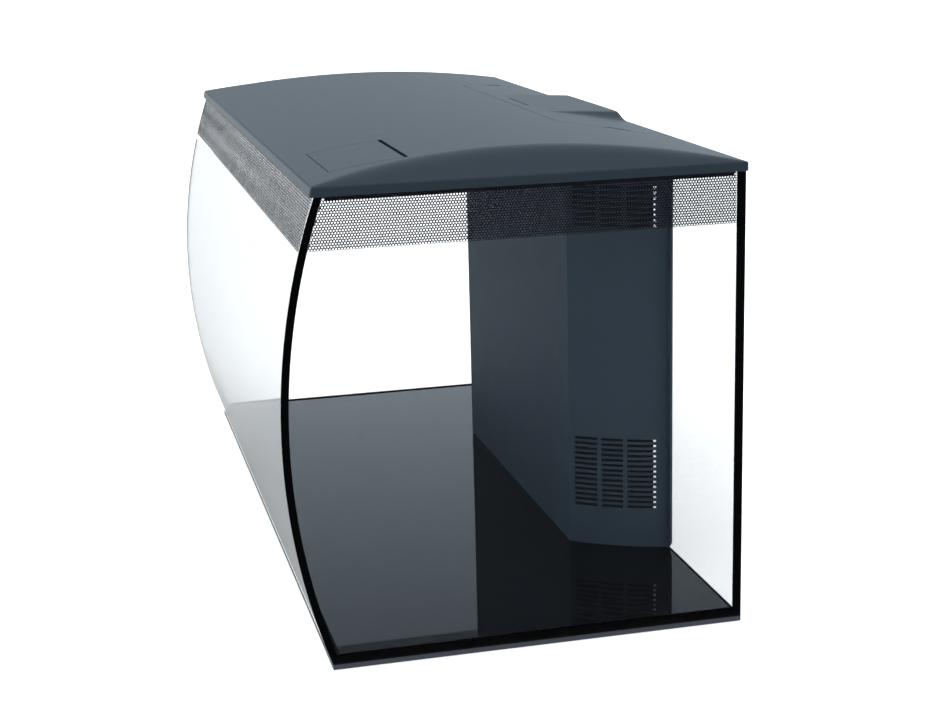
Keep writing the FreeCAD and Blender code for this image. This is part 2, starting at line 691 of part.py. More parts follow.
def hood():
    outer = hood_dome(0, 0)
    inner = hood_dome(RIM_SKIN, HOOD_SKIN, RIM_BOTTOM - 1)
    skin = outer.cut(inner)

    # Feed door: a flush flap cut from the skin, hinged along its front edge
    x0, x1, y0, y1 = DOOR
    door = skin.common(box(x0, x1, y0, y1, RIM_TOP, CREST))
    door_hole = box(x0 - SEAM, x1 + SEAM, y0 - SEAM, y1 + FINGER_SLOT, RIM_TOP - HOOD_SKIN, CREST)
    skin = skin.cut(door_hole)
    door_y = y0 + HINGE_BACK
    door_z = arch_z(door_y) - PIVOT_DROP
    knuckle_a, pin_a, ear_a = hinge(-1, x0 + 1, x0 - SEAM - 1, door_y, door_z)
    knuckle_b, pin_b, ear_b = hinge(1, x1 - 1, x1 + SEAM + 1, door_y, door_z)
    nodes["feed_door"] = fuse(door, knuckle_a, knuckle_b)
    nodes["feed_door_pins"] = Part.makeCompound([pin_a, pin_b])
    skin = fuse(skin, ear_a, ear_b)

    # Service hatch with the cowl and two finger notches; it lifts off a ledge under its edges
    full = outer.fuse(cowl(0))
    hollow = inner.fuse(cowl(HOOD_SKIN))
    hatch = full.cut(hollow).common(hatch_outline(0))
    nodes["service_hatch"] = hatch.cut(finger_notches(0))
    skin = skin.cut(hatch_outline(SEAM))

    # Bosses for the lamp screws, and two notches in the back rim for cords
    for x in (-SCREW_X, SCREW_X):
        for y in (LAMP_Y[0] + SCREW_INSET, LAMP_Y[1] - SCREW_INSET):
            boss_height = arch_z(y) - HOOD_SKIN / 2 - LAMP_Z[1]
            skin = skin.fuse(cylinder(BOSS_RADIUS, V(x, y, LAMP_Z[1]), V(0, 0, 1), boss_height))
            skin = skin.cut(cylinder(SCREW_RADIUS, V(x, y, LAMP_Z[1] - 1), V(0, 0, 1), SCREW_LENGTH))
    notches = cord_notches()
    nodes["hood_shell"] = Part.makeCompound([skin.cut(notches).removeSplitter(), hatch_ledge()])

    # Inner frame: a ledge that sits on the glass, and a skirt just inside it
    ledge_low = GLASS_TOP + FRAME_REST
    half = HOOD_HALF - RIM_SKIN
    ledge_y = (HOOD_FRONT + RIM_SKIN, HOOD_BACK - RIM_SKIN)
    ledge = box(-half, half, *ledge_y, ledge_low, ledge_low + FRAME_LEDGE)
    upright = [edge for edge in ledge.Edges if abs(edge.tangentAt(0).z) > 0.9]
    ledge = ledge.makeFillet(CORNER - RIM_SKIN, upright)
    inside_x = SKIRT_X - SKIRT_WALL
    inside_y = (SKIRT_Y[0] + SKIRT_WALL, SKIRT_Y[1] - SKIRT_WALL)
    skirt = box(-SKIRT_X, SKIRT_X, *SKIRT_Y, SKIRT_LOW, ledge_low)
    opening = box(-inside_x, inside_x, *inside_y, SKIRT_LOW - 1, ledge_low + 3)
    nodes["hood_inner_frame"] = fuse(ledge, skirt).cut(opening).cut(notches)
    return door_y, door_z


def finger_notches(grow):
    """Two notches for the fingers, one in each slanted edge of the hatch."""
    slant = math.degrees(math.atan2(HATCH_CORNER_Y - HATCH_SHOULDER[1], HATCH_HALF - HATCH_SHOULDER[0]))
    notch = box(-NOTCH_HALF, NOTCH_HALF, -1 - grow, NOTCH_DEPTH + grow, RIM_BOTTOM, CREST)
    notch.rotate(V(0, 0, 0), V(0, 0, 1), slant)
    notch.translate(V(*NOTCH_MIDDLE, 0))
    return Part.makeCompound([notch, mirrored(notch)])


def hatch_ledge():
    """Rebate under the hatch's edges, welded to the skin and left out under the finger notches."""
    top = hood_dome(RIM_SKIN, HOOD_SKIN, RIM_BOTTOM - 1)
    under = hood_dome(RIM_SKIN, HOOD_SKIN + HATCH_LEDGE, RIM_BOTTOM - 2)
    ring = hatch_outline(HATCH_LEDGE_OUT).cut(hatch_outline(-HATCH_LEDGE_IN))
    ahead = box(-HOOD_HALF, HOOD_HALF, HOOD_FRONT, HATCH_LEDGE_BACK, RIM_BOTTOM - 2, CREST)
    return top.cut(under).common(ring).common(ahead).cut(finger_notches(2 * HATCH_LEDGE_IN))


def cord_notches():
    near, far = CORD_NOTCH
    notch = box(near, far, CORD_NOTCH_FRONT, HOOD_BACK + 1, GLASS_TOP, RIM_TOP + 1)
    return Part.makeCompound([notch, mirrored(notch)])


def lamp():
    y0, y1 = LAMP_Y
    z0, z1 = LAMP_Z
    wall = LAMP_WALL
    housing = box(-LAMP_HALF, LAMP_HALF, y0, y1, z0, z1)
    housing = housing.cut(box(wall - LAMP_HALF, LAMP_HALF - wall, y0 + wall, y1 - wall, z0 - 1, z1 - wall))
    up = V(0, 0, 1)
    head_radius, head_height = SCREW_HEAD
    head_z = z1 - wall - head_height
    screws = []
    for x in (-SCREW_X, SCREW_X):
        for y in (y0 + SCREW_INSET, y1 - SCREW_INSET):
            shank = cylinder(SCREW_RADIUS, V(x, y, head_z), up, SCREW_LENGTH)
            housing = housing.cut(shank)
            screws.append(shank.fuse(cylinder(head_radius, V(x, y, head_z), up, head_height)))
    nodes["lamp_housing"] = housing
    nodes["lamp_screws"] = Part.makeCompound(screws)
    lens_x = LAMP_HALF - wall - LENS_GAP
    lens_y = (y0 + wall + LENS_GAP, y1 - wall - LENS_GAP)
    nodes["lamp_lens"] = box(-lens_x, lens_x, *lens_y, z0 + LENS[0], z0 + LENS[1])
    board_y = (y0 + BOARD_MARGIN, y1 - BOARD_MARGIN)
    nodes["led_board"] = box(-BOARD_HALF, BOARD_HALF, *board_y, z1 - wall - BOARD, z1 - wall)


glass_tank()
honeycomb_band()
filter_walls()
filter_media()
pump()
hose()
nozzle()
door_pivot = hood()
lamp()

os.makedirs("parts", exist_ok=True)
for name, shape in nodes.items():
    shape.exportStep("parts/" + name + ".step")
    solids = shape.Solids
    print(name, len(solids), "solids, valid", shape.isValid(), "volume", round(shape.Volume))
print("feed door pivot y, z:", [round(value, 3) for value in door_pivot])
print(len(nodes), "nodes")
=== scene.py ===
import json
import math

import bmesh
import bpy
from mathutils import Matrix, Vector, noise


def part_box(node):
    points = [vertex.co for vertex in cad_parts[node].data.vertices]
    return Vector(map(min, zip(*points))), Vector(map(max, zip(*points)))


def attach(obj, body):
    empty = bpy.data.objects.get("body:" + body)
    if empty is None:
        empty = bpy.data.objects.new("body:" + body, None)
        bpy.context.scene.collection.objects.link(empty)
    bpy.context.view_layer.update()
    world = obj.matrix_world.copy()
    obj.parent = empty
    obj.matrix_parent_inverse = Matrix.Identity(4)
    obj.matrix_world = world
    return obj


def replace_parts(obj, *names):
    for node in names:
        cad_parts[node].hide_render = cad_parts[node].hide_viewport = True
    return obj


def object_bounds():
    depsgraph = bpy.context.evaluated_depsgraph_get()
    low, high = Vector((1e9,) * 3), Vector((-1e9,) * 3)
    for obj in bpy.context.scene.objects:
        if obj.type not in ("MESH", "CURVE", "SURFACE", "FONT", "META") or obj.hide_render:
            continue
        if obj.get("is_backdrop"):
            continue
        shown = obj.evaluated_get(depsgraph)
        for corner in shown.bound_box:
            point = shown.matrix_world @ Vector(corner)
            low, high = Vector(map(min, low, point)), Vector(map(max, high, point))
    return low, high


# Curved-front aquarium: smooth hood, door and hatch, printed honeycomb, filter media and materials
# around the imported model. Shapes are worked out in millimetres and written in metres.

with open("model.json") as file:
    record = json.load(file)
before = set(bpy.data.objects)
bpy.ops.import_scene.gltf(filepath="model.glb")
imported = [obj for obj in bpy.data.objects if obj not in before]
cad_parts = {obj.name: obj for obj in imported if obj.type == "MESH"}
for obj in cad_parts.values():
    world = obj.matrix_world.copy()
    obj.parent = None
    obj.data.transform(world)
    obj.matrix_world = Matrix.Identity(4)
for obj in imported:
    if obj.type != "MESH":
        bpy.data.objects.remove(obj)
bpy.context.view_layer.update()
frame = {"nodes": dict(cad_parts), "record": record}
nodes = frame["nodes"]
MM = 0.001


def box_mm(node):
    low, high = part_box(node)
    return low / MM, high / MM


# ---------------------------------------------------------------- sizes read from the model
hood_low, hood_high = box_mm("hood_shell")
door_low, door_high = box_mm("feed_door")
hatch_low, hatch_high = box_mm("service_hatch")
front_low, front_high = box_mm("front_glass")
side_high = box_mm("side_glass_right")[1]
board_low, board_high = box_mm("led_board")
lamp_low, lamp_high = box_mm("lamp_housing")

HOOD_HALF = hood_high.x
HOOD_FRONT = hood_low.y
HOOD_BACK = hood_high.y
HOOD_MID = (HOOD_FRONT + HOOD_BACK) / 2
CREST = hood_high.z
HATCH_FRONT = hatch_low.y
HATCH_BACK = hatch_high.y
HATCH_HALF = hatch_high.x
FRONT_APEX = front_low.y
GLASS_TOP = front_high.z
HALF_LENGTH = side_high.x

# ---------------------------------------------------------------- sizes of the forms, in millimetres
# Hood: a rim round an arch, with both ends sloping up to it
RIM_LOW = hood_low.z
RIM_HEIGHT = 7.5
RIM_TOP = RIM_LOW + RIM_HEIGHT
RIM_SKIN = 1.6
RIM_LIP = 0.5
RIM_FILLET = 0.3
EDGE_ROUND = 1.3
EDGE_STEPS = 4
SKIN = 2.5
CORNER = 2.6
CORNER_TURNS = 5
FRONT_LEAN = 1.7
END_SLOPE = math.tan(math.radians(25))
ARCH_RISE = CREST - RIM_TOP
ARCH_RADIUS = ((HOOD_BACK - HOOD_MID) ** 2 + ARCH_RISE ** 2) / (2 * ARCH_RISE)
BLEND_LEAST = 0.5
BLEND_GROWTH = 6.5
BLEND_RISE = 9.0
END_GRID = 330.0
ON_EDGE = 1e-3

# Two notches for cords in the back rim, from near to far
CORD_NOTCH = (30, 60)
CORD_NOTCH_FRONT = 184
CORD_NOTCH_WALL = 0.2

# Feed door, its hinge and the strip that it rests on; the strip's black under the finger slot is painted
# shade
SEAM = 0.7
FINGER_SLOT = 3.5
DOOR_BEND = 340.0
PIVOT_BEHIND_EDGE = 12.0
PIVOT_UNDER_SKIN = 1.4
EAR_HALF = 3.0
EAR_RISE = 2.2
EAR_BEVEL = 0.6
EAR_GAP = 1.0
HOOD_EAR_END = 6.0
DOOR_EAR_END = 8.0
REST_OVERHANG = 3.0
REST_SHADE_PAST_SLOT = 4.0
REST_DEPTHS = (0.05, 1.3)

# Screw bosses of the lamp
SCREW_X = 300
SCREW_INSET = 15
BOSS_BORE = 1.5
BOSS_RADIUS = 4
BOSS_IN_SKIN = 0.3

# Service hatch: slanted shoulders, ledge below it, and a groove in front of its cowl
SHOULDER = (191.0, 104.0)
SIDE_CORNER_Y = 159.0
SHOULDER_BEFORE = 10
SHOULDER_AFTER = 8
SHOULDER_STEPS = 8
LEDGE_OUTSIDE = 3.0
LEDGE_INSIDE = 4.0
LEDGE_DEPTHS = (0.02, 1.5)
LEDGE_SPAN = (-246, 246)
LEDGE_REACH = (94, 183)
GROOVE = (-41, 31, 115.2, 117.4)
GROOVE_WALL = 0.25
GROOVE_DEPTH = 1.1

# Cowl: a raised level top with flanks that widen with its height
COWL_HALF = 88.0
COWL_START = 118.0
COWL_TOP = (414.3, 410.6)
COWL_BACK_DROP = 0.8
COWL_BACK_SLOPE = 3
COWL_BACK_ROUND = 1.5
COWL_FLANK = 6.0
COWL_FLANK_PER_RISE = 4.0
COWL_SOFTNESS = 0.012
COWL_GRID = (82, 128)

# Panes, and the printed honeycomb band on their outside
GLASS = 6.0
FRONT_RADIUS = 575.0
FRONT_ARC_Z = 197.5
BAND_LOW = 351.5
BAND_MARGIN = 1.4
PITCH = 2.4
HOLE = 1.48
SHEET = 0.1
SET_IN = 0.03
FILM_BORDER = 0.2
LEAST_CELL = 0.6
FILM_INSET = 0.8
SIDE_FILM_INSET = 0.1
SIDE_FILM_START = 0.5

# Soft blocks of the filter, and the lamp's light-emitting diodes
FOAM_SWELL = 1.0
CHIP_ROWS = 3
CHIP_COLUMNS = 28
CHIP_HALF = (1.75, 1.4)
CHIP_HEIGHT = 0.9
CHIP_BEVEL = 0.2


# ---------------------------------------------------------------- mesh helpers
def clamp(value, low=0.0, high=1.0):
    return max(low, min(high, value))


def soft_min(a, b, width):
    near = max(width - abs(a - b), 0.0) / width
    return min(a, b) - near * near * width / 4


def new_object(name, bm, body, material, sharp=32.0):
    """A finished piece from a bmesh in millimetres, riding on its body."""
    bmesh.ops.scale(bm, vec=(MM, MM, MM), verts=bm.verts)
    bm.normal_update()
    limit = math.radians(sharp)
    for edge in bm.edges:
        edge.smooth = len(edge.link_faces) == 2 and edge.calc_face_angle() < limit
    for face in bm.faces:
        face.smooth = True
    mesh = bpy.data.meshes.new(name)
    bm.to_mesh(mesh)
    bm.free()
    piece = bpy.data.objects.new(name, mesh)
    bpy.context.scene.collection.objects.link(piece)
    mesh.materials.append(material)
    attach(piece, body)
    return piece


def steps(*spans):
    """Grid lines from (start, stop, step) spans that follow on from each other."""
    values = []
    for start, stop, step in spans:
        count = max(1, round((stop - start) / step))
        values += [start + (stop - start) * k / count for k in range(count)]
    values.append(spans[-1][1])
    return values


def flat_grid(xs, ys):
    """Level sheet of quads over grid lines."""
    bm = bmesh.new()
    rows = [[bm.verts.new((x, y, 0)) for x in xs] for y in ys]
    for low, high in zip(rows, rows[1:]):
        for k in range(len(xs) - 1):
            bm.faces.new((low[k], low[k + 1], high[k + 1], high[k]))
    return bm


def cut_line(bm, start, end):
    """Splits the flat grid along an endless line through two plan points."""
    direction = Vector((end[0] - start[0], end[1] - start[1], 0))
    normal = Vector((direction.y, -direction.x, 0)).normalized()
    geometry = bm.verts[:] + bm.edges[:] + bm.faces[:]
    plane = {"plane_co": (start[0], start[1], 0), "plane_no": normal}
    bmesh.ops.bisect_plane(bm, geom=geometry, dist=1e-5, **plane)


def outside(point, line):
    """Distance of a plan point to the right of a line from start to end."""
    (x0, y0), (x1, y1) = line
    length = math.hypot(x1 - x0, y1 - y0)
    return ((y1 - y0) * (point[0] - x0) - (x1 - x0) * (point[1] - y0)) / length


def shifted(line, distance):
    """A line moved to its right."""
    (x0, y0), (x1, y1) = line
    length = math.hypot(x1 - x0, y1 - y0)
    dx = (y1 - y0) / length * distance
    dy = -(x1 - x0) / length * distance
    return (x0 + dx, y0 + dy), (x1 + dx, y1 + dy)


def lines_of(points):
    return list(zip(points, points[1:] + points[:1]))


def rectangle(x0, x1, y0, y1):
    return lines_of([(x0, y0), (x1, y0), (x1, y1), (x0, y1)])


def inside_all(point, lines):
    return all(outside(point, line) < 1e-4 for line in lines)


def drop_region(bm, lines):
    """Cuts a convex region out of a flat grid."""
    for line in lines:
        cut_line(bm, *line)
    gone = [f for f in bm.faces if inside_all(f.calc_center_median(), lines)]
    bmesh.ops.delete(bm, geom=gone, context="FACES")


def keep_region(bm, lines):
    """Cuts away all that is outside a convex region of a flat grid."""
    for line in lines:
        cut_line(bm, *line)
    gone = [f for f in bm.faces if not inside_all(f.calc_center_median(), lines)]
    bmesh.ops.delete(bm, geom=gone, context="FACES")


def thicken(bm, top, under, skip=None):
    """Turns a flat sheet into a solid between two height functions; skip(edge) leaves an edge open."""
    verts = list(bm.verts)
    faces = list(bm.faces)
    rims = [e for e in bm.edges if len(e.link_faces) == 1 and not (skip and skip(e))]
    rim_loops = [(e.link_loops[0].vert, e.link_loops[0].link_loop_next.vert) for e in rims]
    low = {}
    for vert in verts:
        x, y, _ = vert.co
        low[vert] = bm.verts.new((x, y, under(x, y)))
        vert.co.z = top(x, y)
    for face in faces:
        bm.faces.new([low[v] for v in reversed(face.verts)])
    for a, b in rim_loops:
        bm.faces.new((b, a, low[a], low[b]))
    return low


def add_box(bm, x0, x1, y0, y1, z0, z1, bevel):
    """A box with rounded edges."""
    made = bmesh.ops.create_cube(bm, size=1)["verts"]
    for vert in made:
        vert.co.x = x0 + (vert.co.x + 0.5) * (x1 - x0)
        vert.co.y = y0 + (vert.co.y + 0.5) * (y1 - y0)
        vert.co.z = z0 + (vert.co.z + 0.5) * (z1 - z0)
    edges = list({e for v in made for e in v.link_edges})
    bmesh.ops.bevel(bm, geom=edges, offset=bevel, segments=2, profile=0.5, affect="EDGES")


def add_tube(bm, centre, inner, outer, length, sides=24):
    """An upright ring on its lower centre point."""
    axis = Vector((0, 0, 1))
    across = axis.orthogonal().normalized()
    up = axis.cross(across)
    centre = Vector(centre)
    rings = []
    for radius, along in ((outer, 0), (outer, length), (inner, length), (inner, 0)):
        ring = []
        for k in range(sides):
            turn = 2 * math.pi * k / sides
            spoke = across * math.cos(turn) + up * math.sin(turn)
            ring.append(bm.verts.new(centre + axis * along + spoke * radius))
        rings.append(ring)
    for first, second in zip(rings, rings[1:] + rings[:1]):
        for k in range(sides):
            n = (k + 1) % sides
            bm.faces.new((first[k], first[n], second[n], second[k]))


# ---------------------------------------------------------------- materials
def tree_of(name):
    material = bpy.data.materials.new(name)
    material.use_nodes = True
    material.node_tree.nodes.clear()
    return material, material.node_tree


def add(tree, kind, **inputs):
    node = tree.nodes.new(kind)
    for key, value in inputs.items():
        node.inputs[key.replace("_", " ")].default_value = value
    return node


def noise_of(tree, place, scale, detail=3.0):
    texture = add(tree, "ShaderNodeTexNoise", Scale=scale, Detail=detail)
    tree.links.new(place, texture.inputs["Vector"])
    return texture.outputs["Fac"]


def mapped(tree, value, low, high, start=0.3, end=0.7):
    spread = add(tree, "ShaderNodeMapRange")
    for key, number in (("From Min", start), ("From Max", end), ("To Min", low), ("To Max", high)):
        spread.inputs[key].default_value = number
    tree.links.new(value, spread.inputs["Value"])
    return spread.outputs["Result"]


def colour_mix(tree, value, first, second):
    mix = tree.nodes.new("ShaderNodeMix")
    mix.data_type = "RGBA"
    mix.inputs["A"].default_value = (*first, 1)
    mix.inputs["B"].default_value = (*second, 1)
    tree.links.new(value, mix.inputs["Factor"])
    return mix.outputs["Result"]


def own_place(tree):
    return tree.nodes.new("ShaderNodeTexCoord").outputs["Object"]


def shade(colour, factor):
    return tuple(c * factor for c in colour)


def add_bump(tree, shader, height, strength, distance):
    bump = add(tree, "ShaderNodeBump", Strength=strength, Distance=distance * MM)
    tree.links.new(height, bump.inputs["Height"])
    tree.links.new(bump.outputs["Normal"], shader.inputs["Normal"])


def choose(tree, factor, first, second):
    """The first shader at factor 0 and the second at 1."""
    mix = tree.nodes.new("ShaderNodeMixShader")
    tree.links.new(factor, mix.inputs["Fac"])
    tree.links.new(first.outputs["BSDF"], mix.inputs[1])
    tree.links.new(second.outputs["BSDF"], mix.inputs[2])
    return mix.outputs["Shader"]


def to_surface(tree, output, kind="ShaderNodeOutputMaterial"):
    out = tree.nodes.new(kind)
    tree.links.new(output, out.inputs["Surface"])


def moulded(
    name, colour, rough, spread=0.06, grain=900.0, depth=0.03, tint=0.10, metal=0.0,
    gloss=(1, 1, 1), shine=0.5,
):
    """Moulded or cast surface: faint colour drift, uneven gloss and a fine grain."""
    material, tree = tree_of(name)
    place = own_place(tree)
    shader = add(tree, "ShaderNodeBsdfPrincipled", Metallic=metal)
    shader.inputs["Specular Tint"].default_value = (*gloss, 1)
    shader.inputs["Specular IOR Level"].default_value = shine
    drift = mapped(tree, noise_of(tree, place, 14.0, 4.0), 0, 1)
    drifting = colour_mix(tree, drift, shade(colour, 1 - tint), shade(colour, 1 + tint))
    tree.links.new(drifting, shader.inputs["Base Color"])
    uneven = mapped(tree, noise_of(tree, place, 60.0, 3.0), rough - spread, rough + spread)
    tree.links.new(uneven, shader.inputs["Roughness"])
    add_bump(tree, shader, noise_of(tree, place, grain, 2.0), 0.35, depth)
    to_surface(tree, shader.outputs["BSDF"])
    return material


def clear_sheet(name, colour, rough=0.0, ior=1.5):
    """Clear glass or acrylic that lets lamp light through."""
    material, tree = tree_of(name)
    place = own_place(tree)
    glass = add(tree, "ShaderNodeBsdfPrincipled", IOR=ior)
    glass.inputs["Transmission Weight"].default_value = 1.0
    drift = mapped(tree, noise_of(tree, place, 5.0), 0, 1)
    drifting = colour_mix(tree, drift, colour, shade(colour, 0.985))
    tree.links.new(drifting, glass.inputs["Base Color"])
    haze = mapped(tree, noise_of(tree, place, 25.0), rough, rough + 0.003)
    tree.links.new(haze, glass.inputs["Roughness"])
    through = add(tree, "ShaderNodeBsdfTransparent", Color=(*colour, 1))
    shadow = tree.nodes.new("ShaderNodeLightPath").outputs["Is Shadow Ray"]
    to_surface(tree, choose(tree, shadow, glass, through))
    return material


def porous(name, colour, rough, cell, depth, tint=0.25):
    """Open-celled or granular surface: painted shade darkens each pit between lighter struts."""
    material, tree = tree_of(name)
    place = own_place(tree)
    shader = add(tree, "ShaderNodeBsdfPrincipled")
    cells = add(tree, "ShaderNodeTexVoronoi", Scale=cell)
    tree.links.new(place, cells.inputs["Vector"])
    # Painted shade: colour darkens towards the cell centres, where the bump sinks each pit
    pit_shade_mask = mapped(tree, cells.outputs["Distance"], 1, 0, 0.0, 0.6)
    pit_shaded_colour = colour_mix(tree, pit_shade_mask, shade(colour, 1 + tint), shade(colour, 1 - tint))
    tree.links.new(pit_shaded_colour, shader.inputs["Base Color"])
    uneven = mapped(tree, noise_of(tree, place, cell / 3), rough - 0.08, min(rough + 0.05, 1))
    tree.links.new(uneven, shader.inputs["Roughness"])
    add_bump(tree, shader, cells.outputs["Distance"], 0.8, depth)
    to_surface(tree, shader.outputs["BSDF"])
    return material


def combined(tree, operation, first, second):
    maths = tree.nodes.new("ShaderNodeMath")
    maths.operation = operation
    tree.links.new(first, maths.inputs[0])
    tree.links.new(second, maths.inputs[1])
    return maths.outputs["Value"]


def net(name, colour, pitch):
    """Woven nylon net: crossed sets of threads."""
    material, tree = tree_of(name)
    place = own_place(tree)
    shader = add(tree, "ShaderNodeBsdfPrincipled", Roughness=0.7)
    heights = []
    for axis in ("X", "Y", "Z"):
        wave = add(tree, "ShaderNodeTexWave", Scale=pitch, Distortion=0.4)
        wave.bands_direction = axis
        tree.links.new(place, wave.inputs["Vector"])
        heights.append(wave.outputs["Fac"])
    crossed = combined(tree, "MULTIPLY", heights[0], heights[1])
    weave = combined(tree, "MAXIMUM", crossed, heights[2])
    woven = colour_mix(tree, weave, shade(colour, 0.5), colour)
    tree.links.new(woven, shader.inputs["Base Color"])
    add_bump(tree, shader, weave, 0.6, 0.15)
    to_surface(tree, shader.outputs["BSDF"])
    return material


# Tint of the gloss on pieces that mirror the sky
COOL = (0.72, 0.87, 1.0)
FINISH = {
    "slate_plastic": moulded("base_slate", (0.034, 0.036, 0.048), 0.46, tint=0.06, shine=0.3),
    "black_film": moulded("film_black", (0.006, 0.006, 0.007), 0.5, depth=0.01),
    "floor_glass": moulded(
        "floor_gloss", (0.0030, 0.0032, 0.0040), 0.012, 0.004, grain=30.0, depth=0.002, gloss=COOL,
    ),
    "clear_glass": clear_sheet("tank_glass", (0.994, 0.998, 0.997)),
    "black_silicone": moulded(
        "silicone_black", (0.0010, 0.0011, 0.0014), 0.34, 0.08, grain=300.0, shine=0.12,
    ),
    "band_print": moulded("print_black", (0.005, 0.006, 0.011), 0.4, depth=0.005, shine=0.25),
    "filter_plastic": moulded(
        "filter_slate", (0.049, 0.069, 0.089), 0.62, 0.02, depth=0.004, tint=0.03, gloss=COOL, shine=0.10,
    ),
    "foam": porous("foam_black", (0.012, 0.0125, 0.014), 0.95, 420.0, 0.9),
    "basket_plastic": moulded("basket_black", (0.012, 0.014, 0.017), 0.4),
    "media_bag": net("bag_net", (0.030, 0.030, 0.032), 420.0),
    "ceramic_media": porous("ceramic_porous", (0.68, 0.62, 0.52), 0.9, 900.0, 0.25, 0.12),
    "pump_plastic": moulded("pump_black", (0.012, 0.013, 0.016), 0.38),
    "shaft_ceramic": moulded("shaft_white", (0.80, 0.79, 0.75), 0.15, 0.04, depth=0.01, tint=0.03),
    "impeller_plastic": moulded("impeller_blue", (0.045, 0.15, 0.30), 0.35),
    "rubber": moulded("rubber_black", (0.010, 0.010, 0.011), 0.7, 0.1, grain=500.0, depth=0.06),
    "hose_rubber": moulded(
        "hose_black", (0.014, 0.015, 0.018), 0.55, 0.08, grain=400.0, depth=0.05,
    ),
    "nozzle_plastic": moulded("nozzle_slate", (0.030, 0.038, 0.048), 0.4),
    "hood_plastic": moulded(
        "hood_slate", (0.018, 0.026, 0.034), 0.42, 0.006, grain=1100.0, depth=0.002, tint=0.008,
        gloss=COOL, shine=0.30,
    ),
    "frame_plastic": moulded("frame_slate", (0.018, 0.023, 0.032), 0.5, shine=0.3),
    "lamp_aluminium": moulded(
        "lamp_metal", (0.16, 0.165, 0.175), 0.38, grain=700.0, depth=0.02, metal=1.0,
    ),
    "lamp_lens": clear_sheet("lens_clear", (0.97, 0.985, 0.99), 0.02, 1.49),
    "led_board": moulded("board_white", (0.78, 0.79, 0.80), 0.45, 0.05, tint=0.03),
    "steel": moulded("steel_plain", (0.55, 0.55, 0.56), 0.28, grain=600.0, depth=0.01, metal=1.0),
}

slot_of = {part["node"]: part["material_slot"] for part in frame["record"]["subparts"]}
for node_name, node in nodes.items():
    node.data.materials.clear()
    node.data.materials.append(FINISH[slot_of[node_name]])


# ---------------------------------------------------------------- hood forms
def arch_z(y):
    return CREST - ARCH_RADIUS + math.sqrt(ARCH_RADIUS ** 2 - (y - HOOD_MID) ** 2)


def hood_z(x, y):
    """The arch, with both ends sloping up to it and rounding into it."""
    arch = arch_z(y)
    end = RIM_TOP + (HOOD_HALF - abs(x)) * END_SLOPE
    blend = BLEND_LEAST + BLEND_GROWTH * clamp((arch - RIM_TOP) / BLEND_RISE)
    return soft_min(arch, end, blend)


def skin_below(depth):
    """Height function of a surface at a depth below the underside of the skin."""
    return lambda x, y: hood_z(x, y) - SKIN - depth


def cowl_z(y):
    """The cowl's level top: it leaves the arch, and rounds down to the back rim."""
    t = (y - COWL_START) / (HATCH_BACK - COWL_START)
    top = COWL_TOP[0] + (COWL_TOP[1] - COWL_TOP[0]) * t
    rear = COWL_TOP[1] - COWL_BACK_DROP + (HATCH_BACK - y) * COWL_BACK_SLOPE
    return soft_min(top, rear, COWL_BACK_ROUND)


def hatch_z(x, y):
    """The hatch follows the arch, and its cowl rises out of it."""
    arch = hood_z(x, y)
    rise = cowl_z(y) - arch
    if y < COWL_START or rise <= 0:
        return arch
    width = COWL_FLANK + COWL_FLANK_PER_RISE * rise
    t = (abs(x) - COWL_HALF) / width
    t = (t + math.sqrt(t * t + COWL_SOFTNESS)) / 2
    return arch + rise * clamp(1 - t) ** 2


def hatch_outline():
    """Plan of the hatch, anticlockwise, with rounded shoulders."""
    slope = (SIDE_CORNER_Y - SHOULDER[1]) / (HATCH_HALF - SHOULDER[0])
    corner = (SHOULDER[0] - (SHOULDER[1] - HATCH_FRONT) / slope, HATCH_FRONT)
    start = (corner[0] - SHOULDER_BEFORE, HATCH_FRONT)
    end = (corner[0] + SHOULDER_AFTER, HATCH_FRONT + SHOULDER_AFTER * slope)
    right = []
    for k in range(SHOULDER_STEPS + 1):
        t = k / SHOULDER_STEPS
        right.append(tuple(
            (1 - t) ** 2 * start[i] + 2 * t * (1 - t) * corner[i] + t * t * end[i] for i in (0, 1)
        ))
    right += [(HATCH_HALF, SIDE_CORNER_Y), (HATCH_HALF, HATCH_BACK)]
    left = [(-x, y) for x, y in reversed(right)]
    return right + left


# Plans of a finger notch and of the gap in the ledge under it: (along the slanted edge, depth into it)
SLANT = math.hypot(HATCH_HALF - SHOULDER[0], SIDE_CORNER_Y - SHOULDER[1])
FINGER_NOTCH = [(33, -2), (SLANT - 4, -2), (SLANT - 4.5, 2.4), (SLANT - 8, 4.2), (44, 4.2)]
LEDGE_GAP = [(26, -8), (SLANT + 4, -8), (SLANT + 4, 12), (26, 12)]


def slant_lines(side, spots):
    """Region at a slanted edge of the hatch, from (along, depth) points."""
    ex = (HATCH_HALF - SHOULDER[0]) / SLANT
    ey = (SIDE_CORNER_Y - SHOULDER[1]) / SLANT
    points = [
        (side * (SHOULDER[0] + ex * along - ey * depth), SHOULDER[1] + ey * along + ex * depth)
        for along, depth in spots
    ]
    if side < 0:
        points.reverse()
    return lines_of(points)


def hinge_ears(bm, spans):
    """Blocks on the pivot line of the feed door, over spans of x."""
    pivot_y = door_low.y + PIVOT_BEHIND_EDGE
    pivot_z = arch_z(pivot_y) - SKIN - PIVOT_UNDER_SKIN
    for start, end in spans:
        add_box(
            bm, start, end, pivot_y - EAR_HALF, pivot_y + EAR_HALF,
            pivot_z - EAR_HALF, pivot_z + EAR_RISE, EAR_BEVEL,
        )


def shell_z(x, y, drop):
    """The skin's height; the cord notches bring the back rim down to the glass."""
    near, far = CORD_NOTCH
    if y > CORD_NOTCH_FRONT and near - 0.01 < abs(x) < far + 0.01:
        return GLASS_TOP - drop / 6
    return hood_z(x, y) - drop


